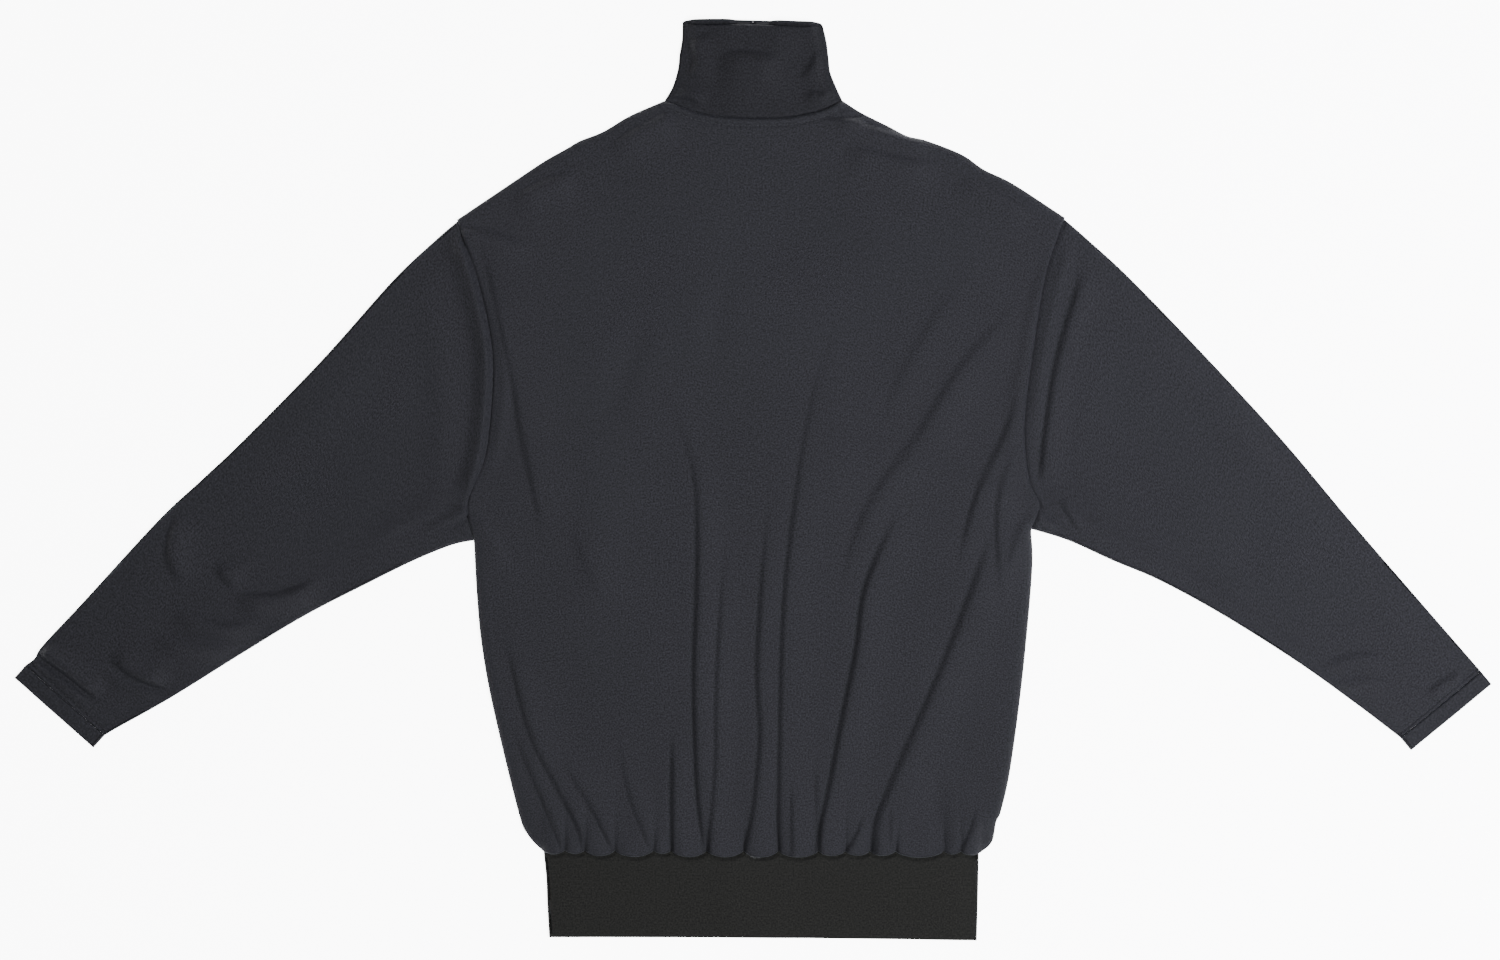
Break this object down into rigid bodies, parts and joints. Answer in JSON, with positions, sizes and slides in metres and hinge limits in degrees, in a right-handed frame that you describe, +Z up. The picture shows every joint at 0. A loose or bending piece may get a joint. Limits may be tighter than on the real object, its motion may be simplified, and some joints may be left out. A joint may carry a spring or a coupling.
{
  "type": "track jacket",
  "caption": "Zip-front track jacket laid flat on its front: high stand collar, dropped sleeves with narrow cuffs, back gathered into a wide waistband",
  "frame": {"origin": "under the middle of the jacket's box, on the surface that it lies on", "axes": "+X runs across the jacket to the right as one looks down on its back (the wearer's right), +Y runs up to the collar, +Z is up, away from the surface"},
  "size_m": [1.402, 0.8739, 0.01],
  "materials": {
    "jersey": "smooth matt tricot knit, charcoal black",
    "band_knit": "smooth doubled knit, warm black",
    "zip_tape": "woven tape, black",
    "zip_teeth": "moulded teeth, black",
    "zip_metal": "satin dark metal"
  },
  "bodies": {
    "jacket": {"back": "jersey", "front_left": "jersey", "front_right": "jersey", "sleeve_left": "jersey", "sleeve_right": "jersey", "cuff_left": "band_knit", "cuff_right": "band_knit", "waistband": "band_knit", "collar": "jersey", "zip_tape_left": "zip_tape", "zip_tape_right": "zip_tape", "zip_chain": "zip_teeth", "zip_box": "zip_metal", "zip_slider": "zip_metal"},
    "pull": {"zip_pull": "zip_metal"}
  },
  "joints": [
    {"name": "pull_swing", "type": "hinge", "parent": "jacket", "child": "pull", "pos_m": [0, 0.427, 0.00175], "axis": [1, 0, 0], "range_deg": [0, 150]}
  ]
}
